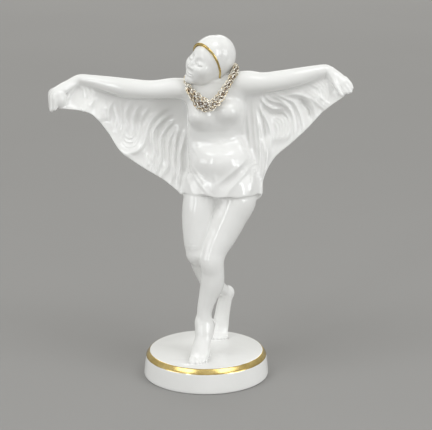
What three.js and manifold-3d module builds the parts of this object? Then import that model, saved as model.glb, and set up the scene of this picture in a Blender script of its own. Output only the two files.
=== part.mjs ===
// A porcelain dancer on a low round base, with a chain rope laid round the neck.
// Millimetres, +Z up. The figure looks towards -Y and her left hand is on +X.
// The origin is the middle of the base's underside, so the part stands on Z = 0.
import * as THREE from 'three';
import { mergeVertices } from 'three/addons/utils/BufferGeometryUtils.js';
import Module from 'manifold-3d';

// Base: a drum that flares slightly downwards, with a bevelled shoulder that carries a gold band.
const BASE_FOOT_RADIUS = 41;
const BASE_FOOT_BEVEL = 0.5;
const BASE_SHOULDER = [39.5, 13.2];
const BASE_BEVEL = [38.4, 14.8];
const BASE_TOP = [37.2, 16.2];
const FOOT_RING_WIDTH = 5;
const GROOVE_WIDTH = 1.6;
const GROOVE_DEPTH = 0.8;
const BASE_SIDES = 44;

// Head, in its own axes: x to her left, y backwards, z to the crown.
const HEAD_CENTRE = [2.4, 0, 204.8];
const HEAD_TURN = THREE.MathUtils.degToRad(-47);
const HEAD_LIFT = THREE.MathUtils.degToRad(-12);
const HEAD_ROLL = THREE.MathUtils.degToRad(19);
const CAP_CENTRE = [-0.3, 0.7, 5.3];
const CAP_RADII = [11.6, 16, 15.3];

// The cap's rim lies in a plane that looks forwards and down.
const RIM_FACING = [0.2, -0.79, -0.65];
const RIM_DEPTH = 5.6;

// Cloth wings.
const WING_THICKNESS = 3.2;
const WING_COLUMNS = 35;
const WING_ROWS = 7;
const SWELL_LEAD = 0.1;
const SWELL_RUN = 0.25;
const SWELL_SKEW = 0.6;
const FOLD_COUNT = 9;
const FOLD_HEIGHT = 1.1;
const FOLD_SWAY = 0.035;
const FOLD_ONSET = 1.4;

// Tunic: the sides of its rings, and the folds along its hem, which die away upwards.
const SKIRT_SIDES = 26;
const SKIRT_FOLDS = 8;
const SKIRT_FOLD_HEIGHT = 0.7;
const SKIRT_FOLD_FADE = 3.2;

// Chain rope round the neck.
const ROPE_RADIUS = 2.7;
const ROPE_SIDES = 8;
const ROPE_STEPS = 34;
const ROPE_CLEARANCE = 0.35;

// Radius of the plain ring that is bent into the rope's path.
const RING_RADIUS = 10;

const wasm = await Module();
wasm.setup();

const vector = ([x, y, z]) => new THREE.Vector3(x, y, z);

// Turns a closed three.js geometry into a solid that can be joined and cut.
function solid(geometry) {
  geometry.deleteAttribute('normal');
  geometry.deleteAttribute('uv');
  const merged = mergeVertices(geometry);
  return new wasm.Manifold(new wasm.Mesh({
    numProp: 3,
    vertProperties: new Float32Array(merged.attributes.position.array),
    triVerts: new Uint32Array(merged.index.array),
  }));
}

// Turns a finished solid back into a three.js geometry.
function geometryOf(manifold) {
  const { vertProperties, triVerts } = manifold.getMesh();
  const geometry = new THREE.BufferGeometry();
  geometry.setAttribute('position', new THREE.BufferAttribute(vertProperties, 3));
  geometry.setIndex(new THREE.BufferAttribute(triVerts, 1));
  geometry.computeVertexNormals();
  return geometry;
}

// Moves every vertex of a geometry to where `place` puts it.
function reshape(geometry, place) {
  const position = geometry.attributes.position;
  const point = new THREE.Vector3();
  for (let i = 0; i < position.count; i += 1) {
    point.fromBufferAttribute(position, i);
    const moved = place(point);
    position.setXYZ(i, moved.x, moved.y, moved.z);
  }
  return geometry;
}

// A closed form of oval rings along a smooth path. Each station is [x, y, z, half width, half depth].
// `side` is the direction of the width. The end lengths are in ring radii: 1 is round, 0.1 almost flat.
function loft(stations, options = {}) {
  const { side = [1, 0, 0], around = 10, along = 16, swell, grow = 0 } = options;
  const { startLength = 1, endLength = 1 } = options;
  const path = new THREE.CatmullRomCurve3(stations.map(vector));
  const sizes = stations.map(([, , , wide, deep]) => new THREE.Vector3(wide, deep, 0));
  const size = new THREE.CatmullRomCurve3(sizes);
  const capShare = 2 / along;
  const reference = vector(side);
  return reshape(new THREE.SphereGeometry(1, around, along), (point) => {
    const down = Math.acos(THREE.MathUtils.clamp(point.y, -1, 1)) / Math.PI;
    const turn = Math.atan2(point.z, point.x);
    const share = THREE.MathUtils.clamp((down - capShare) / (1 - 2 * capShare), 0, 1);
    const startRise = Math.max(0, 1 - down / capShare);
    const endRise = Math.max(0, 1 - (1 - down) / capShare);
    const rise = Math.max(startRise, endRise);
    const ring = Math.cos(rise * Math.PI / 2);
    const { x: wide, y: deep } = size.getPoint(share);
    const tangent = path.getTangent(share);
    const across = reference.clone().addScaledVector(tangent, -reference.dot(tangent)).normalize();
    const through = new THREE.Vector3().crossVectors(tangent, across);
    const extra = grow + (swell ? swell(share, turn) : 0);
    const reach = Math.sin(rise * Math.PI / 2);
    const length = Math.min(wide, deep) * (startRise > 0 ? startLength : endLength) + grow;
    const beyond = (startRise > 0 ? -reach : reach) * length;
    return path.getPoint(share)
      .addScaledVector(across, Math.cos(turn) * ring * (wide + extra))
      .addScaledVector(through, Math.sin(turn) * ring * (deep + extra))
      .addScaledVector(tangent, beyond);
  });
}

function ball([x, y, z], [wide, deep, high], { around = 12, along = 8, grow = 0 } = {}) {
  return new THREE.SphereGeometry(1, around, along)
    .scale(wide + grow, deep + grow, high + grow)
    .translate(x, y, z);
}

// Base.
function base() {
  const grooveOuter = BASE_FOOT_RADIUS - FOOT_RING_WIDTH;
  const grooveInner = grooveOuter - GROOVE_WIDTH;
  const outline = [
    [0, 0],
    [grooveInner, 0],
    [grooveInner, GROOVE_DEPTH],
    [grooveOuter, GROOVE_DEPTH],
    [grooveOuter, 0],
    [BASE_FOOT_RADIUS - BASE_FOOT_BEVEL, 0],
    [BASE_FOOT_RADIUS, BASE_FOOT_BEVEL],
    BASE_SHOULDER,
    BASE_BEVEL,
    BASE_TOP,
    [0, BASE_TOP[1]],
  ];
  const turned = new THREE.LatheGeometry(outline.map(([r, z]) => new THREE.Vector2(r, z)), BASE_SIDES);
  return solid(turned.rotateX(Math.PI / 2));
}

// Head with its close cap.
function head(grow = 0) {
  const place = new THREE.Matrix4()
    .makeRotationZ(HEAD_TURN)
    .multiply(new THREE.Matrix4().makeRotationX(HEAD_LIFT))
    .multiply(new THREE.Matrix4().makeRotationY(HEAD_ROLL))
    .setPosition(...HEAD_CENTRE);
  const size = vector(CAP_RADII).addScalar(grow);
  const facing = vector(RIM_FACING).normalize();
  const cap = reshape(new THREE.SphereGeometry(1, 18, 12).rotateX(Math.PI / 2), (point) => {
    const moved = point.clone().multiply(size);
    const beyond = Math.max(0, moved.dot(facing) - RIM_DEPTH - grow);
    return moved.addScaledVector(facing, -beyond).add(vector(CAP_CENTRE));
  });
  const face = [
    // Skull, cheeks and jaw.
    ball([0, -1.2, 3.2], [10.5, 13.7, 15.2], { around: 14, along: 10, grow }),
    ball([0, -4.4, -2.4], [9.4, 10, 8.6], { grow }),
    ball([0, -6.5, -6], [8, 8.4, 8], { grow }),
    // Nose, mouth and chin.
    loft(
      [[0, -13.9, 3.6, 0.9, 0.8], [0, -15, 0, 1.2, 1.2], [0, -15.6, -2.4, 1.7, 1.3]],
      { around: 8, along: 6, grow },
    ),
    ball([0, -13.6, -7.2], [2.6, 1.3, 1.5], { around: 8, along: 6, grow }),
    ball([0, -12.2, -11], [3, 2.4, 2.3], { around: 8, along: 6, grow }),
  ];
  return [cap, ...face].map((piece) => solid(piece.applyMatrix4(place)));
}

// Torso and tunic, from the hem upwards.
function body(grow = 0) {
  const hem = (share, turn) => {
    const low = Math.max(0, 1 - share * SKIRT_FOLD_FADE);
    return SKIRT_FOLD_HEIGHT * low * Math.cos(SKIRT_FOLDS * turn);
  };
  return [
    loft([
      [9.8, -0.5, 120.6, 25, 16.6], [9.9, -0.5, 128, 24.2, 16.2], [9.6, 0, 138, 21.6, 14.8],
      [7.6, 0.3, 147, 19, 13.2], [6.2, 0.6, 153, 17.6, 11.4], [5.4, 0.9, 158, 16.9, 9.7],
      [5, 0.8, 164, 16.6, 9.8], [4.8, 0.4, 170, 16, 11], [4.6, 0.5, 176, 15.8, 11.2],
      [4, 0.8, 182, 16.4, 10.6], [4.2, 1, 189, 17.4, 8.8], [4.4, 1.2, 194, 11, 6.4],
    ], { around: SKIRT_SIDES, along: 16, startLength: 0.06, endLength: 0.5, swell: hem, grow }),
    ball([-3, -5.8, 174.4], [8.6, 8.4, 8.2], { grow }),
    ball([13.2, -5.8, 177], [8.6, 8.4, 8.2], { grow }),
    ball([8.8, -5, 144.2], [15, 12, 12], { grow }),
    loft(
      [[4.4, 1.4, 189, 8, 6.6], [2.2, 0.6, 196, 6.2, 6], [2.6, 1, 203, 6.2, 6]],
      { around: 12, along: 8, grow },
    ),
  ].map(solid);
}

// Arms, each from the shoulder to the fingers that hold the cloth.
function arms(grow = 0) {
  const up = { side: [0, 0, 1], along: 18, grow };
  return [
    loft([
      [-8, 1, 189, 7, 6.5], [-20, 0.5, 190, 6.6, 6.4], [-34, 1.2, 189, 5.9, 5.9],
      [-50, 3, 189.8, 6.1, 5.8], [-61, 4.6, 191.8, 5, 4.8], [-72, 6.6, 194, 3.3, 3.7],
      [-80.5, 7.8, 194.6, 2.6, 3.2], [-86, 6, 191.2, 2.9, 3.6], [-91.2, 3.4, 188.6, 3.3, 4.6],
      [-94.6, 0.8, 185.2, 3, 5.2], [-96, -0.8, 180.8, 2.3, 4.8], [-96.4, -1.6, 177.4, 1.6, 3.6],
    ], up),
    ball([-92.8, -0.4, 183.2], [5, 4.2, 6], { around: 10, along: 6 }),
    loft([
      [15, 1, 192, 7.4, 7], [26, 0.6, 193.6, 7.6, 7], [36, 1.2, 193.5, 6.5, 6.2],
      [47, 2.4, 194.8, 6.2, 5.9], [59, 4.2, 197, 5.5, 5], [70, 6.8, 199.7, 3.8, 3.9],
      [76.5, 8, 200.6, 2.9, 3.2], [81, 6.2, 197.6, 3.2, 3.5], [85.6, 2.6, 192.8, 4.4, 3.2],
      [88.4, 0.8, 190, 4.4, 2.8], [90.6, -0.4, 187.8, 3, 2],
    ], up),
  ].map(solid);
}

// Legs and feet: the front leg carries her, the rear leg is bent behind it.
function legs() {
  return [
    loft([
      [16.5, 0, 130, 10, 12], [19.4, -1.6, 119.6, 13.6, 13.4], [14.8, -5, 108, 11.8, 12],
      [9.6, -8.5, 97, 10.3, 10.4], [5.4, -11.5, 88, 8.6, 8.8], [3.9, -13.4, 81, 7.8, 7.6],
      [4.3, -13, 73.3, 7.6, 7.4], [3.8, -12, 65.6, 7.6, 7.8], [1.7, -11.4, 57, 6.4, 6.8],
      [-0.7, -11.6, 48.2, 5.2, 5.4], [-1.5, -12.2, 40.4, 4.8, 5.2], [-1.8, -13.6, 34.4, 5, 5.2],
    ], { around: 12, along: 18 }),
    loft([
      [3, -6.2, 36.2, 3.6, 3.7], [0, -11.6, 32.6, 5.1, 5.6], [-2.6, -17.2, 26.4, 5.5, 4.8],
      [-4.5, -21.8, 20.8, 5.7, 3.4], [-5, -26.4, 18.3, 5.4, 2.4],
    ], { side: [0.95, -0.3, 0], around: 12, along: 11, endLength: 0.9 }),
    loft([
      [-2, 0, 130, 9, 12], [-3.8, -2, 119, 10.6, 12.2], [-4.8, -4, 108, 10.7, 11.6],
      [-5.7, -6.5, 98, 9.3, 9.8], [-6.1, -8.5, 90, 7.9, 8.3], [-5.7, -9.2, 84, 6.8, 7.1],
    ], { around: 12, along: 14 }),
    loft([
      [-5.4, -8.6, 83, 6.2, 6.4], [-2.4, -1.8, 72.3, 6, 6.2], [1.8, 6.6, 61.9, 6.1, 6.3],
      [7.6, 16.6, 53.7, 4.9, 5], [12.4, 23.8, 48, 4.1, 4.2],
    ], { along: 12 }),
    loft([
      [13.9, 25.4, 47, 4.2, 4], [11.8, 25.2, 39, 4.7, 3.8], [10.4, 25, 31, 5, 3.5],
      [9.4, 24.2, 23.8, 5.4, 3.2], [9.2, 22.2, 19.8, 5.3, 2.7], [9.2, 18.6, 18, 4.8, 2.1],
    ], { around: 10, along: 12 }),
  ].map(solid);
}

// Each wing hangs from a line along the arm to a hem. Points run from the middle of the back to the hand.
// Its cloth swells backwards by `bulge`, from the share `swellFrom` of the way to the hand.
const WINGS = [
  {
    arm: [
      [8, 8, 191], [-8, 8.6, 190], [-22, 7.4, 189.4], [-38, 6, 188.6], [-53, 6, 190],
      [-67, 6.5, 192.6], [-80, 8, 194], [-88, 4.6, 189.6], [-95, 0.6, 183],
    ],
    hem: [
      [8, 12, 119.5], [-5, 8, 119.5], [-14.2, -1.5, 121.6], [-27.9, 0, 131.3], [-40.9, 1, 139],
      [-53.5, 2, 148.4], [-62.6, 2, 161.6], [-72.7, 1.5, 173.3], [-92.5, -1.8, 177.6],
    ],
    bulge: 7.2,
    swellFrom: 0.12,
  },
  {
    arm: [
      [8, 6, 191], [22, 3.4, 192], [32, 2.6, 191.6], [44, 4, 193.6], [56, 5, 196],
      [67, 6.8, 199], [75, 8, 200], [81, 5, 195], [88, 0.6, 187.5],
    ],
    hem: [
      [8, 10, 119.5], [24, 3, 119.5], [34.2, -2.5, 119.4], [36.4, -1, 131], [43.4, 1, 144.6],
      [54.6, 2, 154.6], [65, 2, 164.6], [74.6, 1, 175.4], [87, -1, 185],
    ],
    bulge: 5,
    swellFrom: 0.26,
  },
];

// Folds fan out from the shoulder and sway as they fall.
// They die away along the arm and in the middle of the back.
function foldRelief(share, fall) {
  const sway = FOLD_SWAY * Math.sin(2 * Math.PI * fall);
  const downwards = Math.sin(Math.PI * Math.min(1, fall * FOLD_ONSET) / 2);
  const outwards = Math.sin(Math.PI * Math.min(0.5, share));
  return FOLD_HEIGHT * downwards * outwards * Math.cos(2 * Math.PI * FOLD_COUNT * (share + sway));
}

function wing({ arm, hem, bulge, swellFrom }) {
  const top = new THREE.CatmullRomCurve3(arm.map(vector));
  const bottom = new THREE.CatmullRomCurve3(hem.map(vector));
  const innerX = arm[0][0];
  const outerX = arm[arm.length - 1][0];
  return reshape(new THREE.BoxGeometry(1, 1, 1, WING_COLUMNS, WING_ROWS, 1), (point) => {
    const share = outerX < innerX ? 0.5 - point.x : 0.5 + point.x;
    const fall = 0.5 - point.y;
    const place = top.getPoint(share).lerp(bottom.getPoint(share), fall);
    const reach = THREE.MathUtils.clamp((place.x - innerX) / (outerX - innerX), 0, 1);
    const swell = THREE.MathUtils.smoothstep(reach, swellFrom - SWELL_LEAD, swellFrom + SWELL_RUN);
    place.y += bulge * swell * Math.sin(Math.PI * fall) * Math.sin(Math.PI * reach ** SWELL_SKEW);
    place.y -= foldRelief(share, fall) + point.z * WING_THICKNESS;
    return place;
  });
}

// Chain rope: a closed ring that follows the neck, the shoulders and the upper chest.
function rope() {
  const path = new THREE.CatmullRomCurve3([
    [2.4, -15, 181.8], [7.4, -13.6, 185.2], [11.6, -11.6, 190.6], [15, -8, 196.2], [18.6, -1.8, 201.2],
    [18.8, 5.6, 202.2], [15, 12.6, 200.4], [6, 15.2, 198], [-4, 13.6, 196.4], [-9.6, 8, 195],
    [-11.4, 1, 193.4], [-10.2, -6, 190.4], [-6.8, -11.2, 187], [-2.6, -14.2, 183.2],
  ].map(vector), true);
  return reshape(new THREE.TorusGeometry(RING_RADIUS, 1, ROPE_SIDES, ROPE_STEPS), (point) => {
    const share = (Math.atan2(point.y, point.x) / (2 * Math.PI) + 1) % 1;
    const outwards = Math.hypot(point.x, point.y) - RING_RADIUS;
    const centre = path.getPoint(share);
    const tangent = path.getTangent(share);
    const across = new THREE.Vector3(0, 0, 1).addScaledVector(tangent, -tangent.z).normalize();
    const away = new THREE.Vector3().crossVectors(tangent, across);
    return centre
      .addScaledVector(away, outwards * ROPE_RADIUS)
      .addScaledVector(across, point.z * ROPE_RADIUS);
  });
}

const joinAll = (solids) => solids.reduce((joined, piece) => joined.add(piece));

const wings = WINGS.map((outline) => solid(wing(outline)));
const dancerSolid = joinAll([base(), ...head(), ...body(), ...arms(), ...legs(), ...wings]);

// The soft chain gives way where it lies on the figure, and keeps a small gap to it.
const keepClear = joinAll([...head(ROPE_CLEARANCE), ...body(ROPE_CLEARANCE), ...arms(ROPE_CLEARANCE)]);
const ropeSolid = solid(rope()).subtract(keepClear);

const glazedPorcelain = new THREE.MeshStandardMaterial({ color: 0xf1f1ec, roughness: 0.12, metalness: 0 });
const chainMetal = new THREE.MeshStandardMaterial({ color: 0xc9b79a, roughness: 0.3, metalness: 1 });

const dancer = new THREE.Mesh(geometryOf(dancerSolid), glazedPorcelain);
dancer.name = 'dancer';

const necklace = new THREE.Mesh(geometryOf(ropeSolid), chainMetal);
necklace.name = 'necklace';

const figurine = new THREE.Group();
figurine.add(dancer, necklace);

export default figurine;
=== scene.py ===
"""Looks of the porcelain dancer figurine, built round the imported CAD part.

The dancer is sculpted as a distance field in millimetres, meshed once, and scaled to metres.
Axes are the frame's: +Z up, the figure looks towards -Y, her left hand is on +X.
"""
import math

import bpy
import numpy as np
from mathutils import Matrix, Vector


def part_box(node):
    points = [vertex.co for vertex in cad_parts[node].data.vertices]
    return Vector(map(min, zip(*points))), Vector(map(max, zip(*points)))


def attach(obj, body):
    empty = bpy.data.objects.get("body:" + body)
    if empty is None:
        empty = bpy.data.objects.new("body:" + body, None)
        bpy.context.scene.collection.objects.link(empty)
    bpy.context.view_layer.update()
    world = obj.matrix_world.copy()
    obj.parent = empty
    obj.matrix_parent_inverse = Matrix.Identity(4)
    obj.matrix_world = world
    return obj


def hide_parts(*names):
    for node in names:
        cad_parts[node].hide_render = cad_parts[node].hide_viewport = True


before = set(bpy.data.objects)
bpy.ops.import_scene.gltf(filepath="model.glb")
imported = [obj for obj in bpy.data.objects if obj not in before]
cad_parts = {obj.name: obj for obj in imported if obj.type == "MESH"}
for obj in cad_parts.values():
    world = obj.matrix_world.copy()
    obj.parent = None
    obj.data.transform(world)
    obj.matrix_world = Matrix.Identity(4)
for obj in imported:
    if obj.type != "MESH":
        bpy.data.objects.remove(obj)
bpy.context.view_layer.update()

import openvdb
from mathutils import Vector

MM = 0.001

# Sculpting grid, in millimetres. Blocks nearer to the surface than BAND are measured in fine cells,
# and a form only counts within MARGIN of itself.
BLOCK = 4.0
CELL = 0.4
BLOCKS_AT_ONCE = 1200
BAND = 4.4
MARGIN = 9.0
FAR = 9.0
FIELD_LIMIT = 3.0
GRID_BORDER = 4.0
PATH_STEP = 1.5
PATH_WINDOW = 4
NORMAL_STEP = 0.25
DANCER_TRIANGLES = 190000

# Turned base. Pairs are a radius and a height.
BASE_FOOT_RADIUS = 41.0
BASE_FOOT_BEVEL = (0.7, 0.8)
BASE_SHOULDER = (39.5, 13.2)
BASE_BEVEL = (38.45, 14.8)
BASE_TOP = (37.2, 16.2)
BASE_ROUNDING = 0.5
GROOVE_RADIUS = 35.2
GROOVE_WIDTH = 1.6
GROOVE_DEPTH = 0.8
GROOVE_ROUNDING = 0.3
BASE_REACH = 30

# Gilding on the base's shoulder.
GILT_HEIGHTS = (12.9, 17.2)
GILT_RADII = (36.9, 45)
GILT_SOFTNESS = 0.08

# Head, in its own axes: x to her left, y backwards, z to the crown.
HEAD_CENTRE = np.array([2.4, 0.0, 204.8])
HEAD_TURN, HEAD_LIFT, HEAD_ROLL = (math.radians(angle) for angle in (-47, -12, 19))
CAP_CENTRE = np.array([-0.3, 0.7, 5.3])
CAP_RADII = (11.4, 15.8, 15.1)
HEAD_REACH = 18

# The cap's rim lies in a plane that faces forwards and down, and its gold line follows it.
RIM_FACING = np.array([0.2, -0.79, -0.65])
RIM_DEPTH = 5.6
RIM_WELT = 0.6
RIM_LINE = (-0.62, 0.42)
RIM_RADII = (10.8, 16.8)
RIM_HEIGHTS = (197.2, 300)

# Cloth wings, and the tunic's hem.
MAP_CELL = 0.4
WING_HALF_THICKNESS = 1.45
HEM_HALF_THICKNESS = 0.85
HEM_TAPER = 9
BACK_SHARE = 0.45
WING_REACH = 7
HEM_HEIGHT = 123.2
HEM_BACK_DROP = 2.5
HEM_ROUNDING = 0.9
RIPPLE_HEIGHT = 0.35
RIPPLES = 9


# Distances and how they join

def smooth_min(a, b, width):
    """Joins two distances with a fillet."""
    near = np.maximum(width - np.abs(a - b), 0) / width
    return np.minimum(a, b) - near * near * width * 0.25


def smooth_max(a, b, width):
    """Keeps what is inside both distances, with a rounded edge."""
    return -smooth_min(-a, -b, width)


def fade(value, start, end):
    """0 before start, 1 after end, smooth between."""
    t = np.clip((value - start) / (end - start), 0, 1)
    return t * t * (3 - 2 * t)


def ellipsoid(points, centre, radii):
    """Distance to an oval ball, nearly true close to its surface."""
    radii = np.asarray(radii, np.float32)
    q = (points - np.asarray(centre, np.float32)) / radii
    reach = lengths(q)
    steep = lengths(q / radii)
    return reach * (reach - 1) / np.maximum(steep, 1e-5)


def capsule(points, start, end, radius):
    """Distance to a straight rod with round ends."""
    start, end = np.asarray(start, np.float32), np.asarray(end, np.float32)
    line = end - start
    share = np.clip((points - start) @ line / (line @ line), 0, 1)
    return lengths(points - start - share[:, None] * line) - radius


def smooth_path(rows, step):
    """Rows of numbers resampled along a smooth curve through them; the first three are the place."""
    rows = np.asarray(rows, float)
    rows = np.vstack([2 * rows[0] - rows[1], rows, 2 * rows[-1] - rows[-2]])
    gaps = lengths(np.diff(rows[:, :3], axis=0))
    knots = np.concatenate([[0], np.cumsum(np.sqrt(gaps))])
    t = np.linspace(0, 1, 24, endpoint=False)[:, None]
    pieces = []
    for i in range(1, len(rows) - 2):
        before, here, there, after = rows[i - 1:i + 3]
        t0, t1, t2, t3 = knots[i - 1:i + 3]
        chord = (there - here) / (t2 - t1)
        leave = (t2 - t1) * ((here - before) / (t1 - t0) - (there - before) / (t2 - t0) + chord)
        arrive = (t2 - t1) * (chord - (after - here) / (t3 - t1) + (after - there) / (t3 - t2))
        pieces.append(here * (2 * t**3 - 3 * t**2 + 1) + leave * (t**3 - 2 * t**2 + t)
                      + there * (3 * t**2 - 2 * t**3) + arrive * (t**3 - t**2))
    dense = np.vstack(pieces + [rows[-2:-1]])
    along = np.concatenate([[0], np.cumsum(lengths(np.diff(dense[:, :3], axis=0)))])
    wanted = np.linspace(0, along[-1], max(3, int(round(along[-1] / step)) + 1))
    return np.stack([np.interp(wanted, along, column) for column in dense.T], axis=1)


def lengths(rows):
    return np.linalg.norm(rows, axis=1)


def dot(a, b):
    """Product of matching rows."""
    return np.einsum("ij,ij->i", a, b)


def unit(rows):
    """Each row with a length of one."""
    return rows / np.linalg.norm(rows, axis=-1, keepdims=True)


class Samples:
    """Points to measure, each in a block, so that a form is only measured where it is near."""

    def __init__(self, points, block, centres):
        self.points = points
        self.block = block
        self.centres = centres

    @classmethod
    def scattered(cls, points):
        """Samples of points that lie anywhere, sorted into blocks."""
        points = points.astype(np.float32)
        cells, block = np.unique(np.floor(points / BLOCK).astype(int), axis=0, return_inverse=True)
        return cls(points, block.reshape(-1), ((cells + 0.5) * BLOCK).astype(np.float32))

    def near(self, form):
        """Numbers of the points whose block lies near a form."""
        inside = np.all((self.centres > form.low) & (self.centres < form.high), axis=1)
        return np.flatnonzero(inside[self.block])


class Tube:
    """Oval form along a smooth path. Stations are (x, y, z, half width, half depth)."""

    def __init__(self, stations, side=(1, 0, 0), ends=(1, 1)):
        rows = smooth_path(stations, PATH_STEP)
        centre, half = rows[:, :3], rows[:, 3:5]
        self.step = np.linalg.norm(centre[1] - centre[0])
        tangent = unit(np.gradient(centre, axis=0))
        side = np.asarray(side, float)
        across = unit(side - (tangent @ side)[:, None] * tangent)
        through = np.cross(tangent, across)
        self.centre = centre.astype(np.float32)
        self.tangent = tangent.astype(np.float32)
        self.rows = np.hstack([centre, tangent, across, through, half]).astype(np.float32)
        self.ends = (ends[0] * half[0].min(), ends[1] * half[-1].min())
        reach = half.max() + MARGIN
        self.low, self.high = centre.min(0) - reach, centre.max(0) + reach

    def distance(self, samples, chosen):
        points = samples.points[chosen]
        gaps = ((samples.centres[:, None, :] - self.centre[None]) ** 2).sum(2)
        start = gaps.argmin(1)[samples.block[chosen]]
        last = len(self.centre) - 1
        best = np.full(len(points), np.inf, np.float32)
        index = np.zeros(len(points), int)
        for offset in range(-PATH_WINDOW, PATH_WINDOW + 1):
            i = np.clip(start + offset, 0, last)
            gap = points - self.centre[i]
            square = dot(gap, gap)
            closer = square < best
            best[closer] = square[closer]
            index[closer] = i[closer]
        ahead = dot(points - self.centre[index], self.tangent[index]) / self.step
        where = np.clip(index + np.clip(ahead, -1, 1), 0, last)
        lower = np.minimum(where.astype(int), last - 1)
        mix = (where - lower)[:, None].astype(np.float32)
        row = self.rows[lower] * (1 - mix) + self.rows[lower + 1] * mix
        gap = points - row[:, 0:3]
        wide = dot(gap, row[:, 6:9])
        deep = dot(gap, row[:, 9:12])
        long = dot(gap, row[:, 3:6])
        end = np.where(where <= 0, self.ends[0], self.ends[1])
        long = np.where((where <= 0) | (where >= last), long, 0)
        share = np.sqrt((wide / row[:, 12]) ** 2 + (deep / row[:, 13]) ** 2 + (long / end) ** 2)
        length = np.sqrt(wide**2 + deep**2 + long**2)
        return length * (1 - 1 / np.maximum(share, 0.05))


class Ball:
    """Oval ball, upright in the frame's axes."""

    def __init__(self, centre, radii):
        self.centre, self.radii = np.array(centre, float), np.array(radii, float)
        reach = self.radii + MARGIN
        self.low, self.high = self.centre - reach, self.centre + reach

    def distance(self, samples, chosen):
        return ellipsoid(samples.points[chosen], self.centre, self.radii)


def join(samples, distance, groups):
    """Joins each group's forms, with its fillet, to what the distance holds so far."""
    for fillet, forms in groups:
        for form in forms:
            chosen = samples.near(form)
            if len(chosen):
                distance[chosen] = smooth_min(distance[chosen], form.distance(samples, chosen), fillet)
    return distance


def empty(samples):
    """A distance that holds nothing yet."""
    return np.full(len(samples.points), FAR, np.float32)


# Reliefs on a map: heights above a sheet, laid out over X and Z

class Chart:
    """Values on a grid over X and Z, read back smoothly."""

    def __init__(self, low, high):
        self.low = np.asarray(low, float)
        count = np.ceil((np.asarray(high) - self.low) / MAP_CELL).astype(int) + 1
        self.x, self.z = np.meshgrid(self.low[0] + MAP_CELL * np.arange(count[0]),
                                     self.low[1] + MAP_CELL * np.arange(count[1]), indexing="ij")
        self.layers = None

    def read(self, points):
        """Every layer's value at the points."""
        place = (points[:, [0, 2]] - self.low) / MAP_CELL
        limit = np.array(self.x.shape) - 2
        cell = np.clip(np.rint(place).astype(int), 1, limit)
        part = np.clip(place - cell, -0.5, 0.5)
        weights = [0.5 * (0.5 - part) ** 2, 0.75 - part**2, 0.5 * (0.5 + part) ** 2]
        value = np.zeros((len(self.layers), len(points)), np.float32)
        for i in (-1, 0, 1):
            for k in (-1, 0, 1):
                weight = weights[i + 1][:, 0] * weights[k + 1][:, 1]
                value += self.layers[:, cell[:, 0] + i, cell[:, 1] + k] * weight
        return value


def spread(height, width, first, last, count):
    """Folds laid evenly between two routes, which have the same number of points."""
    first, last = np.array(first, float), np.array(last, float)
    return [(height, width, first + (last - first) * share) for share in np.linspace(0, 1, count)]


def fold_heights(x, z, folds):
    """Sum of soft ridges. Each fold is (height, width, route); a groove has a height below 0."""
    total = np.zeros(x.shape)
    for height, width, route in folds:
        curve = smooth_path([(px, pz, 0) for px, pz in route], 0.7)[:, :2]
        low, high = curve.min(0) - 4 * width, curve.max(0) + 4 * width
        near = (x > low[0]) & (x < high[0]) & (z > low[1]) & (z < high[1])
        gaps = (x[near][:, None] - curve[:, 0]) ** 2 + (z[near][:, None] - curve[:, 1]) ** 2
        along = gaps.argmin(1) / (len(curve) - 1)
        ends = fade(along, -0.1, 0.35) * fade(1 - along, -0.12, 0.25)
        square = gaps.min(1) / width**2
        total[near] += height * ends * (0.7 * np.exp(-square) + 0.3 * np.exp(-square / 5))
    return total


def outline_distance(x, z, outline):
    """Distance to a closed outline, below 0 inside it."""
    inside = np.zeros(x.shape, bool)
    nearest = np.full(x.shape, np.inf)
    for (x0, z0), (x1, z1) in zip(outline, np.roll(outline, -1, axis=0)):
        dx, dz = x1 - x0, z1 - z0
        share = np.clip(((x - x0) * dx + (z - z0) * dz) / max(dx * dx + dz * dz, 1e-9), 0, 1)
        nearest = np.minimum(nearest, (x - x0 - share * dx) ** 2 + (z - z0 - share * dz) ** 2)
        if z0 != z1:
            crosses = ((z0 > z) != (z1 > z)) & (x < x0 + (z - z0) * dx / dz)
            inside ^= crosses
    return np.where(inside, -1, 1) * np.sqrt(nearest)


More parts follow.
